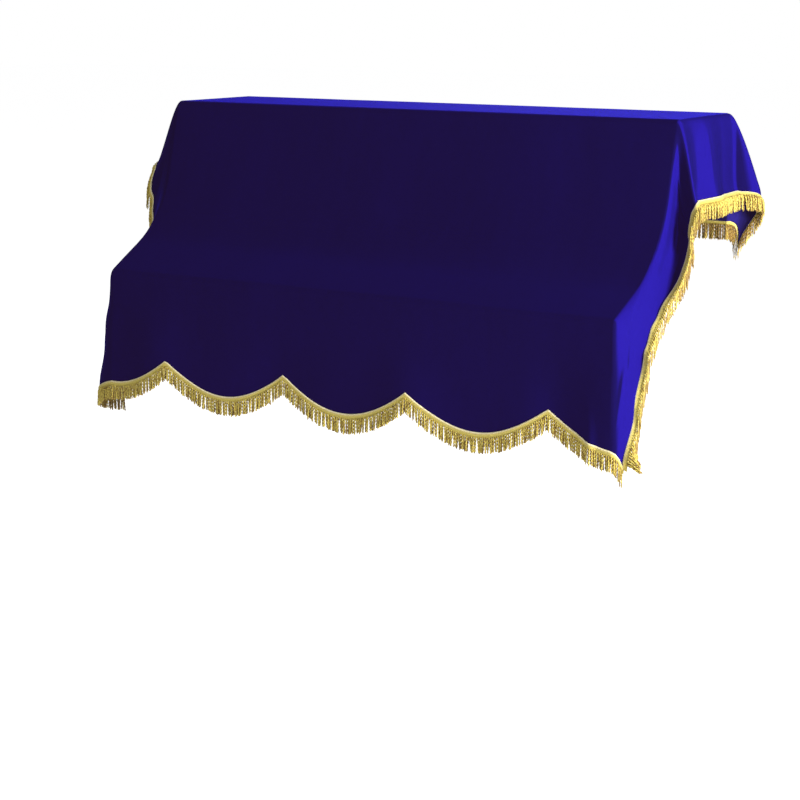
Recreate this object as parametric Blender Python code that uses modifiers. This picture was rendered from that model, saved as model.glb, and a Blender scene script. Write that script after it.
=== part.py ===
"""Velvet piano cover with a gold fringe, in the shape in which it hangs over an upright piano.

Metres, +Z up. The origin is the middle of the underside of the cloth's flat top, which is where the
piano's lid holds it up: x runs across the piano, -Y is its front and z = 0 is the top of the lid.
The piano itself isn't built, so the cover is hollow below.

The cover was cut flat. A point of the cloth is named by its place in that cut: across, from the middle
of the width, and along, from the back hem. drape() gives the place where that point hangs.
"""

import math

import bmesh
import bpy
from mathutils import Vector

# Driving dimensions of the cut cloth and of what it hangs on.
PIANO_WIDTH = 1.50
SIDE_OVERHANG = 0.20
BACK_OVERHANG = 0.27
FRONT_OVERHANG = 0.305
SCALLOP_PITCH = 0.38
SCALLOP_RISE = 0.078
LOBE_ROUNDNESS = 0.9
FIRST_CUSP = -0.555
LAST_CUSP = FIRST_CUSP + 3 * SCALLOP_PITCH
CLOTH_THICKNESS = 0.002
EDGE_REACH = 0.022

# Fringe trim: a woven heading with strands below it, cut here into coarse teeth.
HEADING_HEIGHT = 0.014
STRAND_LENGTH = 0.041
FRINGE_THICKNESS = 0.0024
TOOTH_WIDTH = 0.034
TOOTH_PITCH = 0.048
SEAM_GAP = 0.0018
CORNER_CLEARANCE = 0.008
CORNER_STIFFNESS = 0.12
SIDE_CLEARANCE = 0.045
MIN_CELL = 0.004

# The cover's line from back hem to front hem, seen from the side: name, y and z at the right edge,
# y and z at the left edge, and the radius of the bend there.
SECTION = (
    # name, right y, right z, left y, left z, radius
    ("back hem", 0.172, -0.270, 0.172, -0.270, 0.0),
    ("back edge", 0.160, 0.0, 0.160, 0.0, 0.012),
    ("front edge", -0.160, 0.0, -0.160, 0.0, 0.014),
    ("fall", -0.232, -0.318, -0.238, -0.312, 0.30),
    ("keyboard edge", -0.468, -0.428, -0.458, -0.438, 0.016),
    ("front hem", -0.462, -0.900, -0.482, -0.900, 0.0),
)

# How each side's overhang hangs: the corner that a row is measured from and the distance along the
# cloth from there; then how far the middle of the overhang and its hem lie from the piano's edge.
RIGHT_FOLDS = (
    # from, offset, middle out, back, down, hem out, back, down
    ("back edge", 0.000, 0.015, 0.000, 0.092, 0.028, 0.000, 0.196),
    ("back edge", 0.080, 0.017, 0.000, 0.092, 0.030, 0.005, 0.196),
    ("back edge", 0.160, 0.029, 0.000, 0.091, 0.046, 0.000, 0.193),
    ("front edge", -0.060, 0.020, 0.000, 0.092, 0.032, 0.000, 0.196),
    ("front edge", 0.000, 0.034, -0.003, 0.089, 0.062, -0.008, 0.189),
    ("front edge", 0.055, 0.012, 0.014, 0.079, 0.052, 0.002, 0.168),
    ("front edge", 0.120, 0.008, 0.027, 0.060, 0.050, 0.012, 0.130),
    ("front edge", 0.220, 0.008, 0.037, 0.036, 0.052, 0.034, 0.076),
    ("front edge", 0.320, 0.010, 0.040, 0.024, 0.050, 0.050, 0.052),
    ("front edge", 0.420, 0.018, 0.034, 0.022, 0.040, 0.060, 0.046),
    ("keyboard edge", -0.070, 0.020, 0.042, 0.026, 0.037, 0.080, 0.056),
    ("keyboard edge", 0.000, 0.020, 0.052, 0.037, 0.038, 0.096, 0.080),
    ("keyboard edge", 0.150, 0.025, 0.028, 0.029, 0.036, 0.054, 0.062),
    ("keyboard edge", 0.305, 0.018, 0.010, 0.019, 0.028, 0.018, 0.040),
)
LEFT_FOLDS = (
    ("back edge", 0.000, 0.020, 0.000, 0.092, 0.030, 0.000, 0.196),
    ("back edge", 0.100, 0.020, 0.000, 0.092, 0.034, 0.004, 0.195),
    ("back edge", 0.190, 0.016, 0.000, 0.093, 0.026, 0.000, 0.197),
    ("front edge", -0.070, 0.028, -0.002, 0.090, 0.046, -0.004, 0.192),
    ("front edge", 0.000, 0.046, -0.002, 0.082, 0.090, -0.004, 0.174),
    ("front edge", 0.090, 0.050, 0.002, 0.068, 0.098, 0.002, 0.146),
    ("front edge", 0.200, 0.048, 0.012, 0.046, 0.088, 0.024, 0.098),
    ("front edge", 0.300, 0.044, 0.022, 0.034, 0.078, 0.044, 0.074),
    ("front edge", 0.400, 0.034, 0.030, 0.036, 0.058, 0.060, 0.078),
    ("keyboard edge", -0.070, 0.036, 0.034, 0.052, 0.042, 0.076, 0.112),
    ("keyboard edge", 0.000, 0.040, 0.034, 0.074, 0.038, 0.084, 0.158),
    ("keyboard edge", 0.150, 0.052, 0.020, 0.060, 0.044, 0.092, 0.132),
    ("keyboard edge", 0.305, 0.068, 0.020, 0.026, 0.056, 0.110, 0.062),
)

# The cloth's two back corners: how far each leans out, and how much of that is lost at its tip.
RIGHT_CORNER = (math.radians(22), 0.70)
LEFT_CORNER = (math.radians(26), 0.55)

# Soft hollows and swells of the hanging front: place across and along from the front edge, their reach
# across and along, and how far they stand out.
SWELLS = (
    # across, along, reach across, reach along, stands out
    (0.40, 0.44, 0.12, 0.10, 0.010),
    (-0.30, 0.40, 0.22, 0.12, -0.008),
    (0.05, 0.30, 0.30, 0.16, -0.006),
    (0.62, 0.80, 0.07, 0.12, -0.014),
    (-0.60, 0.78, 0.10, 0.14, 0.012),
    (0.19, 0.80, 0.08, 0.10, 0.008),
    (-0.19, 0.80, 0.09, 0.10, -0.007),
)

# Rows of the cloth's mesh between the named corners, and columns across one scallop and one overhang.
ROWS = (("back edge", 8), ("front edge", 6), ("fall", 7), ("keyboard edge", 8), ("front hem", 7))
COLUMNS_PER_SCALLOP = 5
OVERHANG_COLUMNS = 9

HALF_WIDTH = PIANO_WIDTH / 2
HALF_CLOTH = HALF_WIDTH + SIDE_OVERHANG
ARC_STEPS = 10

VELVET = ("velvet", (0.012, 0.006, 0.095, 1.0), 0.75)
GOLD = ("gold_thread", (0.62, 0.45, 0.10, 1.0), 0.5)


def mix(a, b, t):
    return a + (b - a) * t


def smooth(t):
    t = min(max(t, 0.0), 1.0)
    return t * t * (3 - 2 * t)


# The cover's line from back to front ------------------------------------------------------------

def section_corners(across):
    """The corners of the side line at one place across: name, point as a (y, z) vector, bend radius."""
    t = (min(max(across / HALF_WIDTH, -1.0), 1.0) + 1) / 2
    return [
        (name, Vector((mix(left_y, right_y, t), mix(left_z, right_z, t))), radius)
        for name, right_y, right_z, left_y, left_z, radius in SECTION
    ]


def section_line(across):
    """The side line with its bends rounded: its points, and the distance along it to each corner."""
    corners = section_corners(across)
    points = [corners[0][1]]
    reach = {corners[0][0]: 0.0}
    for (_, before, _), (name, corner, radius), (_, after, _) in zip(corners, corners[1:], corners[2:]):
        back = (before - corner).normalized()
        onward = (after - corner).normalized()
        half_angle = back.angle(onward) / 2
        setback = radius / math.tan(half_angle)
        centre = corner + (back + onward).normalized() * (radius / math.sin(half_angle))
        start = corner + back * setback - centre
        turn = math.pi - 2 * half_angle
        side = 1 if start.x * back.y - start.y * back.x < 0 else -1
        arc = [centre + rotated(start, side * turn * k / ARC_STEPS) for k in range(ARC_STEPS + 1)]
        reach[name] = length(points + arc[:ARC_STEPS // 2 + 1])
        points += arc
    points.append(corners[-1][1])
    return points, reach


def rotated(vector, angle):
    c, s = math.cos(angle), math.sin(angle)
    return Vector((c * vector.x - s * vector.y, s * vector.x + c * vector.y))


def length(points):
    return sum((b - a).length for a, b in zip(points, points[1:]))


def walk(points, distance):
    """The point at a distance along a line of points."""
    for a, b in zip(points, points[1:]):
        step = (b - a).length
        if distance <= step and step > 0:
            return a.lerp(b, distance / step)
        distance -= step
    return points[-1].copy()


# The overhang on each side ----------------------------------------------------------------------

def fold_at(table, reach, along):
    """Where an overhang's middle and its hem lie, blended smoothly between the table's rows."""
    places = [reach[row[0]] + row[1] for row in table]
    k = 0
    while k < len(table) - 2 and along > places[k + 1]:
        k += 1
    t = smooth((along - places[k]) / (places[k + 1] - places[k]))
    here, after = table[k], table[k + 1]
    return Vector(here[2:5]).lerp(Vector(after[2:5]), t), Vector(here[5:8]).lerp(Vector(after[5:8]), t)


def overhang_offset(middle, hem, t):
    """Out, back and down from the piano's edge: a curve that leaves it level, through middle, to the hem."""
    leaving = Vector((EDGE_REACH, 0.0, 0.0))
    arriving = (middle * 8 - leaving * 3 - hem) / 3
    return leaving * (3 * t * (1 - t) ** 2) + arriving * (3 * t * t * (1 - t)) + hem * t ** 3


def back_corner(side_drop, back_drop, lean, droop):
    """Out, back and down from the piano's corner: a soft cone of cloth that closes lower down."""
    reach = math.hypot(side_drop, back_drop)
    turn = math.atan2(back_drop, side_drop) / (math.pi / 2)
    swing = lean * math.sin(math.pi * turn)
    heading = math.radians(mix(20, 75, turn))
    closing = smooth((reach - SIDE_OVERHANG) / (math.hypot(SIDE_OVERHANG, BACK_OVERHANG) - SIDE_OVERHANG))
    aside = reach * math.sin(swing) * (1 - droop * closing)
    down = math.sqrt(reach ** 2 - aside ** 2)
    return Vector((aside * math.cos(heading), aside * math.sin(heading), down))


def swell(across, from_front_edge):
    total = 0.0
    for place, along, reach_across, reach_along, height in SWELLS:
        far = ((across - place) / reach_across) ** 2 + ((from_front_edge - along) / reach_along) ** 2
        total += height * math.exp(-far)
    return total


def drape(across, along, lines):
    """Where a point of the cut cloth hangs."""
    on_piano = min(max(across, -HALF_WIDTH), HALF_WIDTH)
    points, reach = lines(on_piano)
    y, z = walk(points, along)
    edge = Vector((on_piano, y - swell(on_piano, along - reach["front edge"]), z))
    over = abs(across) - HALF_WIDTH
    if over <= 0:
        return edge
    side = 1 if across > 0 else -1
    folds, corner = (RIGHT_FOLDS, RIGHT_CORNER) if across > 0 else (LEFT_FOLDS, LEFT_CORNER)
    offset = overhang_offset(*fold_at(folds, reach, max(along, reach["back edge"])), over / SIDE_OVERHANG)
    if edge.y > 0 and edge.z < 0:
        cone = back_corner(offset.z, -edge.z, *corner)
        gathered = 1 - smooth(-edge.z / BACK_OVERHANG)
        offset = Vector((offset.x * gathered + cone.x, cone.y, cone.z + edge.z))
    return edge + Vector((side * offset.x, offset.y, -offset.z))


def remembered_lines():
    """section_line(), worked out once for each place across."""
    known = {}

    def lines(across):
        key = round(across, 6)
        if key not in known:
            known[key] = section_line(across)
        return known[key]

    return lines


def front_cut(across, reach):
    """Length of the cut cloth at one place across: scallops with sharp cusps between round lobes."""
    full = reach["keyboard edge"] + FRONT_OVERHANG
    if not FIRST_CUSP - SCALLOP_PITCH / 2 < across < LAST_CUSP + SCALLOP_PITCH / 2:
        return full
    phase = ((across - FIRST_CUSP) / SCALLOP_PITCH) % 1.0
    return full - SCALLOP_RISE * (1 - math.sin(math.pi * phase) ** LOBE_ROUNDNESS)


# Meshes -----------------------------------------------------------------------------------------

def spread(start, end, count):
    return [mix(start, end, k / count) for k in range(count)]


def columns():
    """Places across the cut, closer together on the two overhangs."""
    middle_count = round(PIANO_WIDTH / SCALLOP_PITCH * COLUMNS_PER_SCALLOP)
    left = spread(-HALF_CLOTH, -HALF_WIDTH, OVERHANG_COLUMNS)
    middle = spread(-HALF_WIDTH, HALF_WIDTH, middle_count)
    right = spread(HALF_WIDTH, HALF_CLOTH, OVERHANG_COLUMNS)
    return left + middle + right + [HALF_CLOTH]


def rows(reach, cut):
    """Places along the cut, row by row, so that the mesh has a row on each named bend."""
    places = []
    start = 0.0
    for name, count in ROWS:
        end = cut if name == "front hem" else reach[name]
        places += spread(start, end, count)
        start = end
    return places + [start]


def cloth_grid():
    """The hanging cloth as a grid of points, row by row from the back hem to the front hem."""
    lines = remembered_lines()
    middle_reach = lines(0.0)[1]
    grid = []
    for across in columns():
        places = rows(middle_reach, front_cut(across, middle_reach))
        grid.append([drape(across, along, lines) for along in places])
    return [list(row) for row in zip(*grid)]


def material(finish):
    name, colour, roughness = finish
    made = bpy.data.materials.new(name)
    made.use_nodes = True
    shader = made.node_tree.nodes["Principled BSDF"]
    shader.inputs["Base Color"].default_value = colour
    shader.inputs["Roughness"].default_value = roughness
    shader.inputs["Metallic"].default_value = 0.0
    return made


def thick_sheet(name, mesh, thickness, finish, collection):
    """An open surface, given its thickness towards its inner side by Solidify."""
    mesh.materials.append(material(finish))
    made = bpy.data.objects.new(name, mesh)
    collection.objects.link(made)
    shell = made.modifiers.new("thickness", "SOLIDIFY")
    shell.thickness = thickness
    shell.offset = 0.0
    shell.use_even_offset = False
    return made


def surface(name, grid, filled):
    """A mesh of the grid's cells for which filled(row, column) is true, facing out of the hollow."""
    shape = bmesh.new()
    verts = {}

    def vert(r, c):
        if (r, c) not in verts:
            verts[r, c] = shape.verts.new(grid[r][c])
        return verts[r, c]

    for r in range(len(grid) - 1):
        for c in range(len(grid[0]) - 1):
            if filled(r, c):
                shape.faces.new((vert(r, c), vert(r + 1, c), vert(r + 1, c + 1), vert(r, c + 1)))
    mesh = bpy.data.meshes.new(name)
    shape.to_mesh(mesh)
    shape.free()
    mesh.shade_smooth()
    return mesh


def hem_line(edge, inside):
    """A hem's points with the distance along it, and the way out of the cloth at each."""
    distance = 0.0
    line = []
    for k, point in enumerate(edge):
        if k:
            distance += (point - edge[k - 1]).length
        line.append((distance, point, (point - inside[k]).normalized()))
    return line


def along_hem(line, distance):
    """The hem's point and way out at a distance along it."""
    for (start, a, out_a), (end, b, out_b) in zip(line, line[1:]):
        if distance <= end and end > start:
            t = (distance - start) / (end - start)
            return a.lerp(b, t), out_a.lerp(out_b, t).normalized()
    return line[-1][1].copy(), line[-1][2].copy()


def tooth_edges(start, end):
    """Where teeth begin and end along a hem, spread so that the comb ends with a whole tooth."""
    full = end - start
    count = int((full + TOOTH_PITCH - TOOTH_WIDTH) / TOOTH_PITCH)
    stretch = full / (count * TOOTH_PITCH - (TOOTH_PITCH - TOOTH_WIDTH))
    return [
        (start + k * TOOTH_PITCH * stretch, start + (k * TOOTH_PITCH + TOOTH_WIDTH) * stretch)
        for k in range(count)
    ]


def fringe(name, edge, inside, hang, clearance, collection):
    """One comb along a hem: an unbroken heading and below it a row of teeth."""
    line = hem_line(edge, inside)
    teeth = tooth_edges(clearance, line[-1][0] - clearance)
    bends = [d for d, _, _ in line if clearance < d < line[-1][0] - clearance]
    cuts = [place for tooth in teeth for place in tooth]
    bends = [d for d in bends if min(abs(d - cut) for cut in cuts) > MIN_CELL]
    places = sorted(cuts + bends)
    grid = [[], [], []]
    for place in places:
        point, out = along_hem(line, place)
        free = hang * smooth(min(place, line[-1][0] - place) / CORNER_STIFFNESS)
        down = (out * (1 - free) + Vector((0, 0, -1)) * free).normalized()
        top = point + out * SEAM_GAP
        under = top + out * HEADING_HEIGHT
        grid[0].append(top)
        grid[1].append(under)
        grid[2].append(under + down * STRAND_LENGTH)

    def in_tooth(c):
        middle = (places[c] + places[c + 1]) / 2
        return any(start < middle < end for start, end in teeth)

    mesh = surface(name, grid, lambda r, c: r == 0 or in_tooth(c))
    return thick_sheet(name, mesh, FRINGE_THICKNESS, GOLD, collection)


def build():
    for old in list(bpy.data.objects):
        bpy.data.objects.remove(old)
    collection = bpy.data.collections.new("piano_cover")
    bpy.context.scene.collection.children.link(collection)
    grid = cloth_grid()
    mesh = surface("velvet_cloth", grid, lambda r, c: True)
    thick_sheet("velvet_cloth", mesh, CLOTH_THICKNESS, VELVET, collection)
    sides = list(zip(*grid))
    fringe("front_fringe", grid[-1], grid[-2], 0.85, CORNER_CLEARANCE, collection)
    fringe("back_fringe", grid[0], grid[1], 0.85, CORNER_CLEARANCE, collection)
    fringe("right_fringe", sides[-1], sides[-2], 0.25, SIDE_CLEARANCE, collection)
    fringe("left_fringe", sides[0], sides[1], 0.25, SIDE_CLEARANCE, collection)


build()
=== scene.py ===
"""The looks of the velvet piano cover: its cloth, its woven headings and its hanging gold strands.

Metres, +Z up, in the part's own frame: the origin is the middle of the underside of the flat top, x runs
across the piano and -Y is the front. drape() says where each point of the cut cloth hangs.
"""

import math
import random

import bmesh
import bpy
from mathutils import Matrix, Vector, noise


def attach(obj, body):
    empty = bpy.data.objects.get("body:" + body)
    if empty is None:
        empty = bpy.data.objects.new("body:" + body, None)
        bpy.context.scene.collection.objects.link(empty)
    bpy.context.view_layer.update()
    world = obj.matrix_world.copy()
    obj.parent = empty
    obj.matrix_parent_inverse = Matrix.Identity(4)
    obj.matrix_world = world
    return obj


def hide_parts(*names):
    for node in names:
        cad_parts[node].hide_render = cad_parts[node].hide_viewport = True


# The cut cloth and what it hangs on.
PIANO_WIDTH = 1.50
SIDE_OVERHANG = 0.20
BACK_OVERHANG = 0.27
FRONT_OVERHANG = 0.305
SCALLOP_PITCH = 0.38
SCALLOP_RISE = 0.078
LOBE_ROUNDNESS = 0.9
FIRST_CUSP = -0.555
LAST_CUSP = FIRST_CUSP + 3 * SCALLOP_PITCH
CLOTH_THICKNESS = 0.002
EDGE_REACH = 0.022
HALF_WIDTH = PIANO_WIDTH / 2
HALF_CLOTH = HALF_WIDTH + SIDE_OVERHANG
ARC_STEPS = 10

# The slow swell of the cloth, broad and fine: how often it turns across and along, and its height. On the
# flat top only a share of it is left.
BROAD_SWELL = (3.1, 2.3, 0.0030)
FINE_SWELL = (9.0, 6.0, 0.0010)
SWELL_LEFT_ON_TOP = 0.2

# Mesh rows between the named bends and columns on an overhang and between the two.
ROWS = (("back edge", 34), ("front edge", 36), ("fall", 40), ("keyboard edge", 40), ("front hem", 44))
OVERHANG_COLUMNS = 34
MIDDLE_COLUMNS = 150
CROWDING = 0.75

# Fringe trim.
HEADING_ABOVE_HEM = 0.004
HEADING_HEIGHT = 0.014
HEADING_THICKNESS = 0.0022
HEADING_GAP = 0.0004
HEADING_STEP = 0.0022
HEADING_ROWS = 12
STRAND_LENGTH = 0.040
STRAND_PITCH = 0.0031
LAYER_DEPTH = 0.0013
STRAND_RADIUS = 0.0014
STRAND_SPREAD = 0.0012
STRAND_TURNS = 2.2
STRAND_SIDES = 5
STRAND_RINGS = 11
STRAND_TAPER = 0.55
STRAND_UNEVEN = (-0.07, 0.05)
HANGS_WITHIN = 1 / 3.2
STIFF_NEAR_END = 0.10
CORD_PITCH = 0.0030
PLAIN_PITCH = 0.0022
BRAID_PITCH = 0.0075
BRAID_HEIGHT = 0.0006
CORD_HEIGHT = 0.0007
PLAIN_HEIGHT = 0.0004
CORD_ABOVE = 0.78
PLAIN_BELOW = 0.16
HEADING_MIDDLE = CLOTH_THICKNESS / 2 + HEADING_GAP + HEADING_THICKNESS / 2

# Colours as linear red, green and blue.
FACE_DARK = (0.0019, 0.0011, 0.054)
FACE_LIGHT = (0.0022, 0.0012, 0.062)
# Painted light: a brighter blue painted where the cloth faces right and is seen at a slant, standing in for
# the key light and sheen there.
FACE_PAINTED_LIGHT = (0.0062, 0.0030, 0.160)
FACE_SHEEN = (0.025, 0.018, 1.0)
WRONG_DARK = (0.006, 0.005, 0.060)
WRONG_LIGHT = (0.009, 0.007, 0.085)
# Painted light on the wrong side: the same brighter blue painted on faces turned right and seen at a slant.
WRONG_PAINTED_LIGHT = (0.012, 0.009, 0.12)
WRONG_SHEEN = (0.10, 0.10, 0.6)
# Painted light: a faint orange self-glow of the velvet that lifts its shadows toward violet so they don't go
# black.
PAINTED_GLOW_COLOUR = (1.0, 0.4, 0.0)
PAINTED_GLOW_STRENGTH = 0.009
GOLD_SHEEN = (1.0, 0.85, 0.45)
# Painted shade: the strands of the back layer are multiplied by this colour, standing in for shade between
# the strands.
BACK_STRANDS_PAINTED_SHADE = (0.50, 0.38, 0.30)
STRAND_SHADES = (
    (0.34, (0.20, 0.10, 0.015)),
    (0.46, (0.50, 0.37, 0.055)),
    (0.60, (0.68, 0.56, 0.11)),
    (0.80, (0.80, 0.70, 0.18)),
)
HEADING_SHADES = (
    (0.00, (0.46, 0.36, 0.05)),
    (0.45, (0.68, 0.57, 0.12)),
    (0.72, (0.70, 0.58, 0.18)),
    (0.82, (0.88, 0.80, 0.50)),
)
HEADING_FLECKS = ((0.30, (0.55, 0.50, 0.45)), (0.65, (1.0, 1.0, 1.0)))
# Painted light: how much of the brighter painted colour shows, from faced squarely to seen edge on (a
# painted sheen on faces seen at a slant).
PAINTED_LIGHT_BY_VIEW = ((0.06, 0.0), (0.18, 1.0), (0.55, 1.0), (0.65, 0.30), (0.80, 0.06))

# Room and lights.
FLOOR_Z = -1.182
FLOOR_GLOW = 0.85
WORLD_LIGHT = 0.17
BACKDROP_WHITE = 1.0
LIGHTS = (
    # name, place, target, size, power, colour
    ("key", (4.4, -0.85, 0.25), (0.6, -0.1, -0.3), 1.2, 330, (1.0, 0.98, 0.96)),
    ("front_fill", (1.2, -4.7, 1.0), (0.0, -0.2, -0.3), 2.5, 85, (1.0, 1.0, 1.0)),
    ("behind", (-1.4, 3.8, -0.2), (0.0, 0.2, -0.2), 2.5, 60, (0.96, 0.98, 1.0)),
)

# The cover's line from back hem to front hem, seen from the side: name, y and z at the right edge,
# y and z at the left edge, and the radius of the bend there.
SECTION = (
    # name, right y, right z, left y, left z, radius
    ("back hem", 0.172, -0.270, 0.172, -0.270, 0.0),
    ("back edge", 0.160, 0.0, 0.160, 0.0, 0.012),
    ("front edge", -0.160, 0.0, -0.160, 0.0, 0.014),
    ("fall", -0.232, -0.318, -0.238, -0.312, 0.30),
    ("keyboard edge", -0.468, -0.428, -0.458, -0.438, 0.016),
    ("front hem", -0.462, -0.900, -0.482, -0.900, 0.0),
)

# How each side's overhang hangs: the corner that a row is measured from and the distance along the
# cloth from there; then how far the middle of the overhang and its hem lie from the piano's edge.
RIGHT_FOLDS = (
    # from, offset, middle out, back, down, hem out, back, down
    ("back edge", 0.000, 0.015, 0.000, 0.092, 0.028, 0.000, 0.196),
    ("back edge", 0.080, 0.017, 0.000, 0.092, 0.030, 0.005, 0.196),
    ("back edge", 0.160, 0.029, 0.000, 0.091, 0.046, 0.000, 0.193),
    ("front edge", -0.060, 0.020, 0.000, 0.092, 0.032, 0.000, 0.196),
    ("front edge", 0.000, 0.034, -0.003, 0.089, 0.062, -0.008, 0.189),
    ("front edge", 0.055, 0.012, 0.014, 0.079, 0.052, 0.002, 0.168),
    ("front edge", 0.120, 0.008, 0.027, 0.060, 0.050, 0.012, 0.130),
    ("front edge", 0.220, 0.008, 0.037, 0.036, 0.052, 0.034, 0.076),
    ("front edge", 0.320, 0.010, 0.040, 0.024, 0.050, 0.050, 0.052),
    ("front edge", 0.420, 0.018, 0.034, 0.022, 0.040, 0.060, 0.046),
    ("keyboard edge", -0.070, 0.020, 0.042, 0.026, 0.037, 0.080, 0.056),
    ("keyboard edge", 0.000, 0.020, 0.052, 0.037, 0.038, 0.096, 0.080),
    ("keyboard edge", 0.150, 0.025, 0.028, 0.029, 0.036, 0.054, 0.062),
    ("keyboard edge", 0.305, 0.018, 0.010, 0.019, 0.028, 0.018, 0.040),
)
LEFT_FOLDS = (
    ("back edge", 0.000, 0.020, 0.000, 0.092, 0.030, 0.000, 0.196),
    ("back edge", 0.100, 0.020, 0.000, 0.092, 0.034, 0.004, 0.195),
    ("back edge", 0.190, 0.016, 0.000, 0.093, 0.026, 0.000, 0.197),
    ("front edge", -0.070, 0.028, -0.002, 0.090, 0.046, -0.004, 0.192),
    ("front edge", 0.000, 0.046, -0.002, 0.082, 0.090, -0.004, 0.174),
    ("front edge", 0.090, 0.050, 0.002, 0.068, 0.098, 0.002, 0.146),
    ("front edge", 0.200, 0.048, 0.012, 0.046, 0.088, 0.024, 0.098),
    ("front edge", 0.300, 0.044, 0.022, 0.034, 0.078, 0.044, 0.074),
    ("front edge", 0.400, 0.034, 0.030, 0.036, 0.058, 0.060, 0.078),
    ("keyboard edge", -0.070, 0.036, 0.034, 0.052, 0.042, 0.076, 0.112),
    ("keyboard edge", 0.000, 0.040, 0.034, 0.074, 0.038, 0.084, 0.158),
    ("keyboard edge", 0.150, 0.052, 0.020, 0.060, 0.044, 0.092, 0.132),
    ("keyboard edge", 0.305, 0.068, 0.020, 0.026, 0.056, 0.110, 0.062),
)

# The cloth's two back corners: how far each leans out, and how much of that is lost at its tip.
RIGHT_CORNER = (math.radians(22), 0.70)
LEFT_CORNER = (math.radians(26), 0.55)

# Soft hollows and swells of the hanging front: place across and along from the front edge, their reach
# across and along, and how far they stand out.
SWELLS = (
    # across, along, reach across, reach along, stands out
    (0.40, 0.44, 0.12, 0.10, 0.010),
    (-0.30, 0.40, 0.22, 0.12, -0.008),
    (0.05, 0.30, 0.30, 0.16, -0.006),
    (0.62, 0.80, 0.07, 0.12, -0.014),
    (-0.60, 0.78, 0.10, 0.14, 0.012),
    (0.19, 0.80, 0.08, 0.10, 0.008),
    (-0.19, 0.80, 0.09, 0.10, -0.007),
)


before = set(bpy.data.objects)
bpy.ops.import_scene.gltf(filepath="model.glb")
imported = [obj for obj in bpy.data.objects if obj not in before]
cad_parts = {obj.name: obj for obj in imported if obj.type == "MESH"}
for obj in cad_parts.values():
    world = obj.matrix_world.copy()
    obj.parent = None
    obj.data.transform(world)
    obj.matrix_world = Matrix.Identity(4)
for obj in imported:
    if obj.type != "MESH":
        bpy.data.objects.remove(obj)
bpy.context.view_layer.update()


def mix(a, b, t):
    return a + (b - a) * t


def smooth(t):
    t = min(max(t, 0.0), 1.0)
    return t * t * (3 - 2 * t)


def section_corners(across):
    """The corners of the side line at one place across: name, point as a (y, z) vector, bend radius."""
    t = (min(max(across / HALF_WIDTH, -1.0), 1.0) + 1) / 2
    return [
        (name, Vector((mix(left_y, right_y, t), mix(left_z, right_z, t))), radius)
        for name, right_y, right_z, left_y, left_z, radius in SECTION
    ]


def section_line(across):
    """The side line with its bends rounded: its points, and the distance along it to each corner."""
    corners = section_corners(across)
    points = [corners[0][1]]
    reach = {corners[0][0]: 0.0}
    for (_, before, _), (name, corner, radius), (_, after, _) in zip(corners, corners[1:], corners[2:]):
        back = (before - corner).normalized()
        onward = (after - corner).normalized()
        half_angle = back.angle(onward) / 2
        setback = radius / math.tan(half_angle)
        centre = corner + (back + onward).normalized() * (radius / math.sin(half_angle))
        start = corner + back * setback - centre
        turn = math.pi - 2 * half_angle
        side = 1 if start.x * back.y - start.y * back.x < 0 else -1
        arc = [centre + rotated(start, side * turn * k / ARC_STEPS) for k in range(ARC_STEPS + 1)]
        reach[name] = length(points + arc[:ARC_STEPS // 2 + 1])
        points += arc
    points.append(corners[-1][1])
    return points, reach


def rotated(vector, angle):
    c, s = math.cos(angle), math.sin(angle)
    return Vector((c * vector.x - s * vector.y, s * vector.x + c * vector.y))


def length(points):
    return sum((b - a).length for a, b in zip(points, points[1:]))


def walk(points, distance):
    """The point at a distance along a line of points."""
    for a, b in zip(points, points[1:]):
        step = (b - a).length
        if distance <= step and step > 0:
            return a.lerp(b, distance / step)
        distance -= step
    return points[-1].copy()


# The overhang on each side ----------------------------------------------------------------------

def fold_at(table, reach, along):
    """Where an overhang's middle and its hem lie, blended smoothly between the table's rows."""
    places = [reach[row[0]] + row[1] for row in table]
    k = 0
    while k < len(table) - 2 and along > places[k + 1]:
        k += 1
    t = smooth((along - places[k]) / (places[k + 1] - places[k]))
    here, after = table[k], table[k + 1]
    return Vector(here[2:5]).lerp(Vector(after[2:5]), t), Vector(here[5:8]).lerp(Vector(after[5:8]), t)


def overhang_offset(middle, hem, t):
    """Out, back and down from the piano's edge: a curve that leaves it level, through middle, to the hem."""
    leaving = Vector((EDGE_REACH, 0.0, 0.0))
    arriving = (middle * 8 - leaving * 3 - hem) / 3
    return leaving * (3 * t * (1 - t) ** 2) + arriving * (3 * t * t * (1 - t)) + hem * t ** 3


def back_corner(side_drop, back_drop, lean, droop):
    """Out, back and down from the piano's corner: a soft cone of cloth that closes lower down."""
    reach = math.hypot(side_drop, back_drop)
    turn = math.atan2(back_drop, side_drop) / (math.pi / 2)
    swing = lean * math.sin(math.pi * turn)
    heading = math.radians(mix(20, 75, turn))
    closing = smooth((reach - SIDE_OVERHANG) / (math.hypot(SIDE_OVERHANG, BACK_OVERHANG) - SIDE_OVERHANG))
    aside = reach * math.sin(swing) * (1 - droop * closing)
    down = math.sqrt(reach ** 2 - aside ** 2)
    return Vector((aside * math.cos(heading), aside * math.sin(heading), down))


def swell(across, from_front_edge):
    total = 0.0
    for place, along, reach_across, reach_along, height in SWELLS:
        far = ((across - place) / reach_across) ** 2 + ((from_front_edge - along) / reach_along) ** 2
        total += height * math.exp(-far)
    return total


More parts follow.
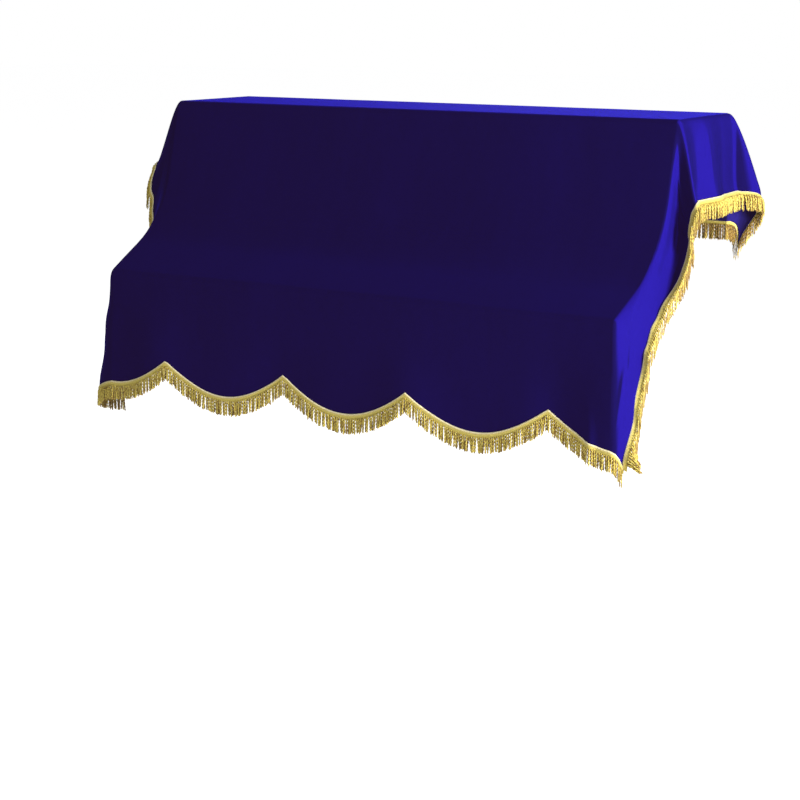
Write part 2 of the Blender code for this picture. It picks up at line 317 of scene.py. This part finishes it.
def drape(across, along, lines):
    """Where a point of the cut cloth hangs."""
    on_piano = min(max(across, -HALF_WIDTH), HALF_WIDTH)
    points, reach = lines(on_piano)
    y, z = walk(points, along)
    edge = Vector((on_piano, y - swell(on_piano, along - reach["front edge"]), z))
    over = abs(across) - HALF_WIDTH
    if over <= 0:
        return edge
    side = 1 if across > 0 else -1
    folds, corner = (RIGHT_FOLDS, RIGHT_CORNER) if across > 0 else (LEFT_FOLDS, LEFT_CORNER)
    offset = overhang_offset(*fold_at(folds, reach, max(along, reach["back edge"])), over / SIDE_OVERHANG)
    if edge.y > 0 and edge.z < 0:
        cone = back_corner(offset.z, -edge.z, *corner)
        gathered = 1 - smooth(-edge.z / BACK_OVERHANG)
        offset = Vector((offset.x * gathered + cone.x, cone.y, cone.z + edge.z))
    return edge + Vector((side * offset.x, offset.y, -offset.z))


def remembered_lines():
    """section_line(), worked out once for each place across."""
    known = {}

    def lines(across):
        key = round(across, 6)
        if key not in known:
            known[key] = section_line(across)
        return known[key]

    return lines


def front_cut(across, reach):
    """Length of the cut cloth at one place across: scallops with sharp cusps between round lobes."""
    full = reach["keyboard edge"] + FRONT_OVERHANG
    if not FIRST_CUSP - SCALLOP_PITCH / 2 < across < LAST_CUSP + SCALLOP_PITCH / 2:
        return full
    phase = ((across - FIRST_CUSP) / SCALLOP_PITCH) % 1.0
    return full - SCALLOP_RISE * (1 - math.sin(math.pi * phase) ** LOBE_ROUNDNESS)


# Small creases of the real cloth, on top of the main folds: place across and along from the front edge
# of the top, heading in degrees from straight down, half length, half width, and how far it stands out.
CREASES = (
    # across, along, heading, half length, half width, stands out
    (0.865, -0.135, 90.0, 0.060, 0.007, 0.0030),
    (0.900, -0.100, 84.0, 0.050, 0.006, -0.0020),
    (0.880, -0.060, 96.0, 0.050, 0.008, 0.0020),
    (0.820, 0.680, -14.0, 0.080, 0.009, 0.0030),
    (0.850, 0.600, 12.0, 0.070, 0.008, -0.0022),
    (0.800, 0.500, 20.0, 0.060, 0.010, 0.0020),
    (0.700, 0.850, 4.0, 0.060, 0.010, 0.0060),
    (0.660, 0.840, -6.0, 0.050, 0.012, -0.0030),
    (-0.120, 0.260, 88.0, 0.160, 0.030, 0.0025),
    (-0.860, -0.120, -90.0, 0.060, 0.008, 0.0030),
    (-0.830, 0.640, 12.0, 0.080, 0.010, 0.0030),
)


def crease(across, from_front_edge):
    total = 0.0
    for place, along, heading, half_length, half_width, height in CREASES:
        turn = math.radians(heading)
        dx, dy = across - place, from_front_edge - along
        run = dx * math.sin(turn) + dy * math.cos(turn)
        side = dx * math.cos(turn) - dy * math.sin(turn)
        total += height * math.exp(-(run / half_length) ** 2 - (side / half_width) ** 2)
    return total


def slack(across, along):
    """The slow, uneven swell of heavy cloth that no bend holds tight."""
    total = 0.0
    for (turns_across, turns_along, height), seed in ((BROAD_SWELL, 4.7), (FINE_SWELL, 9.1)):
        total += height * noise.noise(Vector((across * turns_across, along * turns_along, seed)))
    return total


# Cloth ------------------------------------------------------------------------------------------

def crowded(start, end, count):
    """Places from start to just before end, closer together near both."""
    return [mix(start, end, mix(k / count, smooth(k / count), CROWDING)) for k in range(count)]


def columns():
    left = crowded(-HALF_CLOTH, -HALF_WIDTH, OVERHANG_COLUMNS)
    middle = crowded(-HALF_WIDTH, HALF_WIDTH, MIDDLE_COLUMNS)
    right = crowded(HALF_WIDTH, HALF_CLOTH, OVERHANG_COLUMNS)
    return left + middle + right + [HALF_CLOTH]


def rows(reach, cut):
    places = []
    start = 0.0
    for name, count in ROWS:
        end = cut if name == "front hem" else reach[name]
        places += crowded(start, end, count)
        start = end
    return places + [start]


def finished(shape, name, smoothed=True):
    """The mesh made from a bmesh, which is let go."""
    mesh = bpy.data.meshes.new(name)
    shape.to_mesh(mesh)
    shape.free()
    if smoothed:
        mesh.shade_smooth()
    return mesh


def hem_stations(edge, inside):
    return [(v.co.copy(), w.co.copy(), v.normal.copy()) for v, w in zip(edge, inside)]


def hanging_cloth():
    """The cloth's middle surface as a grid mesh, with its cut places as a UV map in metres."""
    lines = remembered_lines()
    reach = lines(0.0)[1]
    across_places = columns()
    row_count = sum(count for _, count in ROWS)
    column_count = len(across_places) - 1
    shape = bmesh.new()
    bmesh.ops.create_grid(shape, x_segments=column_count, y_segments=row_count, size=0.5)
    uv = shape.loops.layers.uv.new("cut")
    cut_at = {}
    grid = [[None] * (column_count + 1) for _ in range(row_count + 1)]
    along_places = [rows(reach, front_cut(across, reach)) for across in across_places]
    for vert in shape.verts:
        c = round((vert.co.x + 0.5) * column_count)
        r = round((0.5 - vert.co.y) * row_count)
        across, along = across_places[c], along_places[c][r]
        vert.co = drape(across, along, lines)
        cut_at[vert] = (across, along)
        grid[r][c] = vert
    shape.normal_update()
    moved = [
        (vert, vert.normal * (slack(*place) + crease(place[0], place[1] - reach["front edge"])))
        for vert, place in cut_at.items()
    ]
    for vert, step in moved:
        vert.co += step * hold(cut_at[vert], reach)
    shape.normal_update()
    for face in shape.faces:
        for loop in face.loops:
            loop[uv].uv = cut_at[loop.vert]
    sides = list(zip(*grid))
    hems = {
        "front": hem_stations(grid[-1], grid[-4]),
        "back": hem_stations(grid[0], grid[3]),
        "right": hem_stations(sides[-1], sides[-4]),
        "left": hem_stations(sides[0], sides[3]),
    }
    return finished(shape, "velvet"), hems


def hold(place, reach):
    """How free the cloth is to swell: hardly at all on the flat top, fully where it hangs."""
    across, along = place
    on_top = reach["back edge"] < along < reach["front edge"] and abs(across) < HALF_WIDTH
    return SWELL_LEFT_ON_TOP if on_top else 1.0


def add_piece(name, mesh, materials):
    for material in materials:
        mesh.materials.append(material)
    piece = bpy.data.objects.new(name, mesh)
    bpy.context.scene.collection.objects.link(piece)
    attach(piece, "root")
    return piece


# Fringe -----------------------------------------------------------------------------------------

class Hem:
    """A hem as a smooth line: its place, its way out of the cloth and the cloth's outer side."""

    def __init__(self, stations):
        self.stations = []
        distance = 0.0
        for k, (point, inside, normal) in enumerate(stations):
            if k:
                distance += (point - stations[k - 1][0]).length
            self.stations.append((distance, point, (point - inside).normalized(), normal))
        self.length = distance
        self.at = 0

    def place(self, distance):
        k = self.at if distance >= self.stations[self.at][0] else 0
        while k < len(self.stations) - 2 and distance > self.stations[k + 1][0]:
            k += 1
        self.at = k
        (start, a, out_a, side_a), (end, b, out_b, side_b) = self.stations[k], self.stations[k + 1]
        t = min(max((distance - start) / max(end - start, 1e-9), 0.0), 1.0)
        return a.lerp(b, t), out_a.lerp(out_b, t).normalized(), side_a.lerp(side_b, t).normalized()


def braid(run, rise):
    """Relief of the woven heading: a corded edge above, crossing cords, and a plain edge below."""
    if rise > CORD_ABOVE:
        return CORD_HEIGHT * abs(math.sin(math.pi * (run / CORD_PITCH + rise * 2)))
    if rise < PLAIN_BELOW:
        return PLAIN_HEIGHT * abs(math.sin(math.pi * run / PLAIN_PITCH))
    one = abs(math.sin(math.pi * (run / BRAID_PITCH + rise * 1.2)))
    other = abs(math.sin(math.pi * (run / BRAID_PITCH - rise * 1.2)))
    return BRAID_HEIGHT * max(one, other)


def rise_at(turn):
    """Height on the heading, 0 to 1, of a row of the flat tube: up its front, then down its back."""
    return (turn if turn <= HEADING_ROWS else 2 * HEADING_ROWS - turn) / HEADING_ROWS


def heading_mesh(name, hem):
    """The woven band: a tube of cloth tape pressed flat along the hem, with its braid in relief."""
    count = round(hem.length / HEADING_STEP)
    around = 2 * HEADING_ROWS
    shape = bmesh.new()
    bmesh.ops.create_grid(shape, x_segments=count, y_segments=around, size=0.5)
    uv = shape.loops.layers.uv.new("yarn")
    placed = {}
    for vert in shape.verts:
        run = (vert.co.x + 0.5) * hem.length
        turn = (vert.co.y + 0.5) * around
        placed[vert] = (run, turn)
    for vert, (run, turn) in sorted(placed.items(), key=lambda item: item[1]):
        front = turn <= HEADING_ROWS
        rise = rise_at(turn)
        point, out, side = hem.place(run)
        edge_round = 1 - abs(2 * rise - 1) ** 6
        lift = HEADING_MIDDLE + (HEADING_THICKNESS / 2) * edge_round * (1 if front else -1)
        if front:
            lift += braid(run, rise) * edge_round
        vert.co = point + out * (HEADING_HEIGHT * (1 - rise) - HEADING_ABOVE_HEM) + side * lift
    for face in shape.faces:
        for loop in face.loops:
            run, turn = placed[loop.vert]
            loop[uv].uv = (run * 10, rise_at(turn))
    bmesh.ops.remove_doubles(shape, verts=shape.verts, dist=0.00005)
    bmesh.ops.holes_fill(shape, edges=[e for e in shape.edges if e.is_boundary], sides=0)
    bmesh.ops.recalc_face_normals(shape, faces=shape.faces)
    return finished(shape, name)


def strand_template():
    """One pair of cords as two upright tubes of unit length and radius, 4 apart."""
    shape = bmesh.new()
    for x in (-2.0, 2.0):
        ring = bmesh.ops.create_circle(shape, segments=STRAND_SIDES, radius=1.0)["verts"]
        bmesh.ops.translate(shape, verts=ring, vec=(x, 0, 0))
        edges = list({e for v in ring for e in v.link_edges})
        for _ in range(STRAND_RINGS):
            grown = bmesh.ops.extrude_edge_only(shape, edges=edges)["geom"]
            verts = [g for g in grown if isinstance(g, bmesh.types.BMVert)]
            edges = [g for g in grown if isinstance(g, bmesh.types.BMEdge)]
            bmesh.ops.translate(shape, verts=verts, vec=(0, 0, 1 / STRAND_RINGS))
    bmesh.ops.holes_fill(shape, edges=[e for e in shape.edges if e.is_boundary], sides=0)
    bmesh.ops.recalc_face_normals(shape, faces=shape.faces)
    return finished(shape, "strand_template", smoothed=False)


def repeated(mesh, count, step):
    """The template repeated in a row by an Array, made into one mesh."""
    holder = bpy.data.objects.new("holder", mesh)
    bpy.context.scene.collection.objects.link(holder)
    array = holder.modifiers.new("row", "ARRAY")
    array.count = count
    array.use_relative_offset = False
    array.use_constant_offset = True
    array.constant_offset_displace = (step, 0, 0)
    evaluated = holder.evaluated_get(bpy.context.evaluated_depsgraph_get())
    made = bpy.data.meshes.new_from_object(evaluated)
    bpy.data.objects.remove(holder)
    return made


def strand_path(hem, run, hang, layer, chance):
    """Points down one pair of cords and the two ways across it."""
    point, out, side = hem.place(run)
    start = point + out * (HEADING_HEIGHT - HEADING_ABOVE_HEM - 0.002) + side * (HEADING_MIDDLE + layer)
    ahead, _, _ = hem.place(min(run + 0.002, hem.length))
    behind, _, _ = hem.place(max(run - 0.002, 0.0))
    tangent = (ahead - behind).normalized()
    sway = tangent * chance.gauss(0, 0.10) + side * chance.gauss(0.02, 0.08)
    strand_length = STRAND_LENGTH * (1 + chance.uniform(*STRAND_UNEVEN))
    points = [start]
    for k in range(STRAND_RINGS):
        share = hang * min(1.0, (k + 0.5) / STRAND_RINGS / HANGS_WITHIN)
        way = (out * (1 - share) + Vector((0, 0, -1)) * share + sway * 0.6).normalized()
        points.append(points[-1] + way * strand_length / STRAND_RINGS)
    return points, tangent, side


def strands_mesh(name, hem, hang, free_end, seed):
    """Cords in pairs, spun round each other, every other pair set a little behind its neighbours."""
    chance = random.Random(seed)
    count = int((hem.length - 2 * free_end) / STRAND_PITCH)
    step = 10.0
    mesh = repeated(strand_template(), count, step)
    pitch = (hem.length - 2 * free_end) / count
    paths = []
    for k in range(count):
        run = free_end + (k + 0.5) * pitch
        loose = smooth(min(run, hem.length - run) / STIFF_NEAR_END)
        free = hang * (loose if free_end > 0.01 else 0.4 + 0.6 * loose)
        layer = LAYER_DEPTH * (1 if k % 2 else -1)
        path = strand_path(hem, run, free, layer, chance)
        paths.append((path, chance.uniform(0, math.tau), chance.uniform(0.9, 1.1)))
    shape = bmesh.new()
    shape.from_mesh(mesh)
    uv = shape.loops.layers.uv.new("yarn")
    known = {}
    for vert in shape.verts:
        k = round(vert.co.x / step)
        x = vert.co.x - k * step
        cord = 1 if x > 0 else -1
        known[vert] = (k, cord, x - 2 * cord, vert.co.y, min(max(vert.co.z, 0.0), 1.0))
    for vert, (k, cord, x, y, down) in known.items():
        (points, tangent, side), phase, size = paths[k]
        ring = round(down * STRAND_RINGS)
        centre = points[ring]
        turn = phase + STRAND_TURNS * math.tau * down
        taper = 1.0 if ring < STRAND_RINGS else STRAND_TAPER
        spread = STRAND_SPREAD * (1.0 if ring < STRAND_RINGS else 0.5)
        middle = tangent * math.cos(turn) * cord * spread + side * math.sin(turn) * cord * spread
        radius = STRAND_RADIUS * size * taper
        vert.co = centre + middle + (tangent * x + side * y) * radius
    for face in shape.faces:
        for loop in face.loops:
            k, cord, x, y, down = known[loop.vert]
            loop[uv].uv = (k + 0.5 + 0.25 * cord, down * 4)
    bmesh.ops.recalc_face_normals(shape, faces=shape.faces)
    return finished(shape, name)


# Materials --------------------------------------------------------------------------------------

def new_material(name):
    made = bpy.data.materials.new(name)
    made.use_nodes = True
    tree = made.node_tree
    return made, tree, tree.nodes["Principled BSDF"]


def node(tree, kind, settings=(), **inputs):
    made = tree.nodes.new(kind)
    for key, value in dict(settings).items():
        setattr(made, key, value)
    for key, value in inputs.items():
        socket = made.inputs[key.replace("_", " ")]
        if isinstance(value, bpy.types.NodeSocket):
            tree.links.new(value, socket)
        else:
            socket.default_value = value
    return made


def ramp(tree, fac, stops):
    made = tree.nodes.new("ShaderNodeValToRGB")
    tree.links.new(fac, made.inputs["Fac"])
    while len(made.color_ramp.elements) < len(stops):
        made.color_ramp.elements.new(0.5)
    for element, (place, colour) in zip(made.color_ramp.elements, stops):
        element.position = place
        element.color = (*colour, 1.0)
    return made.outputs["Color"]


def cut_map(tree, name, scale):
    uv = tree.nodes.new("ShaderNodeUVMap")
    uv.uv_map = name
    return node(tree, "ShaderNodeMapping", Vector=uv.outputs["UV"], Scale=scale).outputs["Vector"]


def velvet(name, dark, light, painted_light, sheen_colour, sheen):
    made, tree, shader = new_material(name)
    brushed = node(tree, "ShaderNodeTexNoise", Vector=cut_map(tree, "cut", (5, 2.2, 1)), Scale=1.0,
                   Detail=3.0, Roughness=0.55)
    colour = ramp(tree, brushed.outputs["Fac"], ((0.35, dark), (0.72, light)))
    # Painted light: the base colour turns to the brighter painted blue where the cloth faces right and is
    # seen at a slant.
    facing = tree.nodes.new("ShaderNodeLayerWeight")
    facing.inputs["Blend"].default_value = 0.5
    view_painted_light = ramp(tree, facing.outputs["Facing"], [(place, (level,) * 3) for place, level in PAINTED_LIGHT_BY_VIEW])
    outward = tree.nodes.new("ShaderNodeTexCoord").outputs["Normal"]
    sideways = node(tree, "ShaderNodeSeparateXYZ", Vector=outward).outputs["X"]
    painted_light_side = node(tree, "ShaderNodeMapRange", Value=sideways, From_Min=0.10, From_Max=0.36)
    share = node(tree, "ShaderNodeMath", {"operation": "MULTIPLY"})
    tree.links.new(view_painted_light, share.inputs[0])
    tree.links.new(painted_light_side.outputs["Result"], share.inputs[1])
    painted_light_mix = node(tree, "ShaderNodeMix", {"data_type": "RGBA"})
    tree.links.new(share.outputs["Value"], painted_light_mix.inputs["Factor"])
    tree.links.new(colour, painted_light_mix.inputs[6])
    painted_light_mix.inputs[7].default_value = (*painted_light, 1.0)
    tree.links.new(painted_light_mix.outputs[2], shader.inputs["Base Color"])
    pile = node(tree, "ShaderNodeTexNoise", Vector=cut_map(tree, "cut", (1, 1, 1)), Scale=1400.0, Detail=2.0)
    patch = node(tree, "ShaderNodeTexNoise", Vector=cut_map(tree, "cut", (30, 14, 1)), Scale=1.0, Detail=3.0)
    grain = node(tree, "ShaderNodeBump", Height=pile.outputs["Fac"], Strength=0.25, Distance=0.0004)
    waves = node(tree, "ShaderNodeBump", Height=patch.outputs["Fac"], Strength=0.25, Distance=0.004,
                 Normal=grain.outputs["Normal"])
    tree.links.new(waves.outputs["Normal"], shader.inputs["Normal"])
    shader.inputs["Roughness"].default_value = 0.9
    shader.inputs["Specular IOR Level"].default_value = 0.04
    shader.inputs["Sheen Weight"].default_value = sheen
    shader.inputs["Sheen Roughness"].default_value = 0.35
    shader.inputs["Sheen Tint"].default_value = (*sheen_colour, 1.0)
    # Painted light: a faint glow of the velvet itself, so its shadows don't go black.
    shader.inputs["Emission Color"].default_value = (*PAINTED_GLOW_COLOUR, 1.0)
    shader.inputs["Emission Strength"].default_value = PAINTED_GLOW_STRENGTH
    return made


def gold_yarn(name, shades, stripe_scale, roughness):
    made, tree, shader = new_material(name)
    fleck = node(tree, "ShaderNodeTexNoise", Vector=cut_map(tree, "yarn", stripe_scale), Scale=1.0,
                 Detail=3.0, Roughness=0.65)
    colour = ramp(tree, fleck.outputs["Fac"], shades)
    place = node(tree, "ShaderNodeSeparateXYZ", Vector=cut_map(tree, "yarn", (1, 1, 1))).outputs["X"]
    pair = node(tree, "ShaderNodeMath", {"operation": "FLOORED_MODULO"})
    tree.links.new(place, pair.inputs[0])
    pair.inputs[1].default_value = 2.0
    # Painted shade: every other pair of cords, the back layer, is darkened by multiplying its colour.
    behind = node(tree, "ShaderNodeMath", {"operation": "LESS_THAN"})
    tree.links.new(pair.outputs["Value"], behind.inputs[0])
    behind.inputs[1].default_value = 1.0
    shaded = node(tree, "ShaderNodeMix", {"data_type": "RGBA", "blend_type": "MULTIPLY"})
    tree.links.new(behind.outputs["Value"], shaded.inputs["Factor"])
    tree.links.new(colour, shaded.inputs[6])
    shaded.inputs[7].default_value = (*BACK_STRANDS_PAINTED_SHADE, 1.0)
    tree.links.new(shaded.outputs[2], shader.inputs["Base Color"])
    spun = node(tree, "ShaderNodeTexWave", {"bands_direction": "DIAGONAL"},
                Vector=cut_map(tree, "yarn", (4, 12, 1)), Scale=1.0, Distortion=1.0)
    bump = node(tree, "ShaderNodeBump", Height=spun.outputs["Fac"], Strength=0.5, Distance=0.0003)
    tree.links.new(bump.outputs["Normal"], shader.inputs["Normal"])
    shader.inputs["Roughness"].default_value = roughness
    shader.inputs["Sheen Weight"].default_value = 0.4
    shader.inputs["Sheen Roughness"].default_value = 0.4
    shader.inputs["Sheen Tint"].default_value = (*GOLD_SHEEN, 1.0)
    return made


def woven_gold(name):
    """The heading's colour: cream along its upper cord, gold below."""
    made, tree, shader = new_material(name)
    uv = tree.nodes.new("ShaderNodeUVMap")
    uv.uv_map = "yarn"
    rise = node(tree, "ShaderNodeSeparateXYZ", Vector=uv.outputs["UV"]).outputs["Y"]
    band = ramp(tree, rise, HEADING_SHADES)
    fleck = node(tree, "ShaderNodeTexNoise", Vector=cut_map(tree, "yarn", (40, 6, 1)), Scale=1.0, Detail=3.0)
    shade = ramp(tree, fleck.outputs["Fac"], HEADING_FLECKS)
    mixed = node(tree, "ShaderNodeMix", {"data_type": "RGBA", "blend_type": "MULTIPLY"})
    mixed.inputs["Factor"].default_value = 1.0
    tree.links.new(band, mixed.inputs[6])
    tree.links.new(shade, mixed.inputs[7])
    tree.links.new(mixed.outputs[2], shader.inputs["Base Color"])
    shader.inputs["Roughness"].default_value = 0.55
    shader.inputs["Sheen Weight"].default_value = 0.3
    shader.inputs["Sheen Tint"].default_value = (*GOLD_SHEEN, 1.0)
    return made


# The cover ----------------------------------------------------------------------------------------

velvet_face = velvet("velvet_pile", FACE_DARK, FACE_LIGHT, FACE_PAINTED_LIGHT, FACE_SHEEN, 0.30)
velvet_wrong = velvet("velvet_backing", WRONG_DARK, WRONG_LIGHT, WRONG_PAINTED_LIGHT, WRONG_SHEEN, 0.2)
strand_gold = gold_yarn("gold_strands", STRAND_SHADES, (0.9, 1.2, 1), 0.42)
heading_gold = woven_gold("gold_heading")

cloth_mesh, hems = hanging_cloth()
cloth = add_piece("velvet_cover", cloth_mesh, [velvet_face, velvet_wrong])
shell = cloth.modifiers.new("thickness", "SOLIDIFY")
shell.thickness = CLOTH_THICKNESS
shell.offset = 0.0
shell.material_offset = 1
shell.use_even_offset = False
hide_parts("velvet_cloth")

# Hem: how straight down its strands hang, the length left bare at each end, seed of its unevenness.
TRIMS = (
    ("front", 0.85, 0.004, 11),
    ("back", 0.85, 0.004, 12),
    ("right", 0.94, 0.012, 13),
    ("left", 0.94, 0.012, 14),
)
trim_pieces = []
for side_name, hang, bare_end, seed in TRIMS:
    hem = Hem(hems[side_name])
    band = heading_mesh(side_name + "_heading", hem)
    heading = add_piece(side_name + "_heading", band, [heading_gold])
    cords = strands_mesh(side_name + "_strands", hem, hang, bare_end, seed)
    strands = add_piece(side_name + "_strands", cords, [strand_gold])
    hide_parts(side_name + "_fringe")
    trim_pieces += [heading, strands]

# Floor, light and camera ------------------------------------------------------------------------------

floor_shape = bmesh.new()
bmesh.ops.create_grid(floor_shape, x_segments=1, y_segments=1, size=30.0)
bmesh.ops.translate(floor_shape, verts=floor_shape.verts, vec=(0, 0, FLOOR_Z))
floor_mesh = finished(floor_shape, "floor", smoothed=False)
floor_material, floor_tree, floor_shader = new_material("pale_floor")
floor_shader.inputs["Base Color"].default_value = (0.85, 0.85, 0.86, 1.0)
floor_shader.inputs["Roughness"].default_value = 0.9
floor_shader.inputs["Emission Color"].default_value = (1.0, 1.0, 1.0, 1.0)
looking = node(floor_tree, "ShaderNodeLightPath").outputs["Is Camera Ray"]
glow = node(floor_tree, "ShaderNodeMapRange", Value=looking, To_Min=0.0, To_Max=FLOOR_GLOW)
floor_tree.links.new(glow.outputs["Result"], floor_shader.inputs["Emission Strength"])
floor_mesh.materials.append(floor_material)
floor = bpy.data.objects.new("floor", floor_mesh)
bpy.context.scene.collection.objects.link(floor)


def area_light(name, place, target, size, power, colour):
    data = bpy.data.lights.new(name, "AREA")
    data.shape = "DISK"
    data.size = size
    data.energy = power
    data.color = colour
    light = bpy.data.objects.new(name, data)
    light.location = place
    light.rotation_euler = (Vector(target) - Vector(place)).to_track_quat("-Z", "Y").to_euler()
    bpy.context.scene.collection.objects.link(light)


for light_row in LIGHTS:
    area_light(*light_row)

world = bpy.data.worlds.new("studio")
world.use_nodes = True
sky = world.node_tree
backdrop = sky.nodes["Background"]
seen = sky.nodes.new("ShaderNodeLightPath").outputs["Is Camera Ray"]
brightness = node(sky, "ShaderNodeMapRange", Value=seen, To_Min=WORLD_LIGHT, To_Max=BACKDROP_WHITE)
sky.links.new(brightness.outputs["Result"], backdrop.inputs["Strength"])
backdrop.inputs["Color"].default_value = (1.0, 1.0, 1.0, 1.0)
bpy.context.scene.world = world
bpy.context.scene.view_settings.view_transform = "Standard"

camera_data = bpy.data.cameras.new("camera")
camera_data.lens = 76.09
camera_data.sensor_width = 36.0
camera = bpy.data.objects.new("camera", camera_data)
camera.location = (2.378, -3.842, 0.254)
camera.rotation_euler = (math.radians(90 - 13.06), 0.0, math.radians(33.04))
bpy.context.scene.collection.objects.link(camera)
bpy.context.scene.camera = camera
